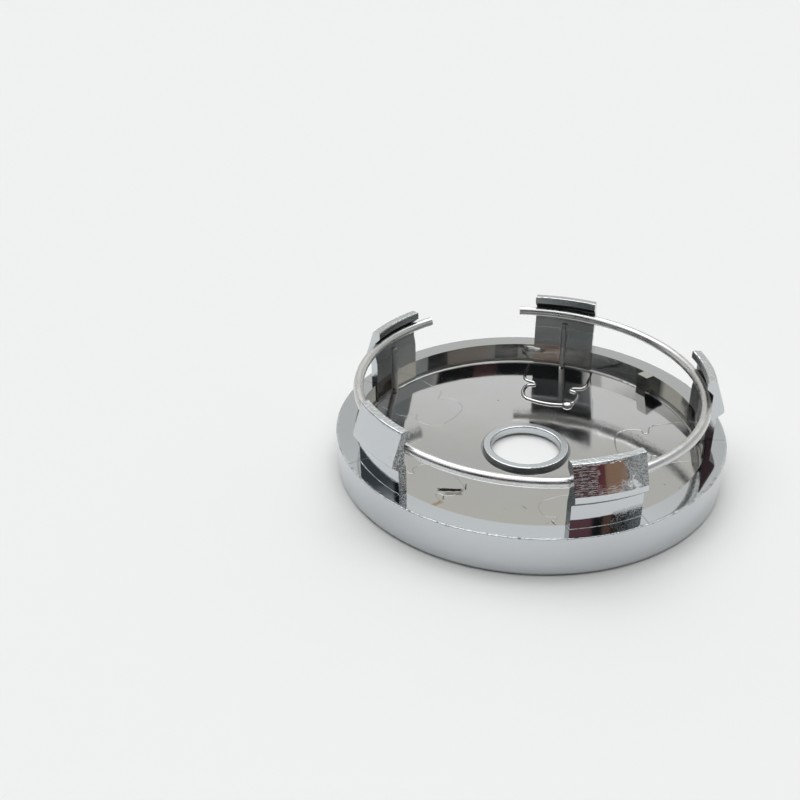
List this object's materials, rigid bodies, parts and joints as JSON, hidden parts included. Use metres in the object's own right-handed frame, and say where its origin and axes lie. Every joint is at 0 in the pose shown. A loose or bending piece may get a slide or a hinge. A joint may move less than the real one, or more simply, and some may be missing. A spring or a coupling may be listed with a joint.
{
  "type": "wheel centre cap",
  "caption": "Round chrome-plated snap-in centre cap for a car wheel, with barbed clips, a spring wire ring behind them, a crowned badge face and a centre hole.",
  "frame": {"origin": "on the cap's axis, at the crest of the bead round its face, which is the surface it lies on", "axes": "+Z along the axis, from the face towards the clip tips, the way the cap is pushed into a wheel; +X to the right in the picture"},
  "size_m": [0.06, 0.06, 0.016],
  "materials": {
    "chrome_plating": "bright chrome plating on moulded plastic, scuffed on the clips",
    "spring_wire": "bright drawn spring wire, zinc plated"
  },
  "bodies": {
    "root": {"cap_body": "chrome_plating", "retaining_ring": "spring_wire"}
  },
  "joints": []
}
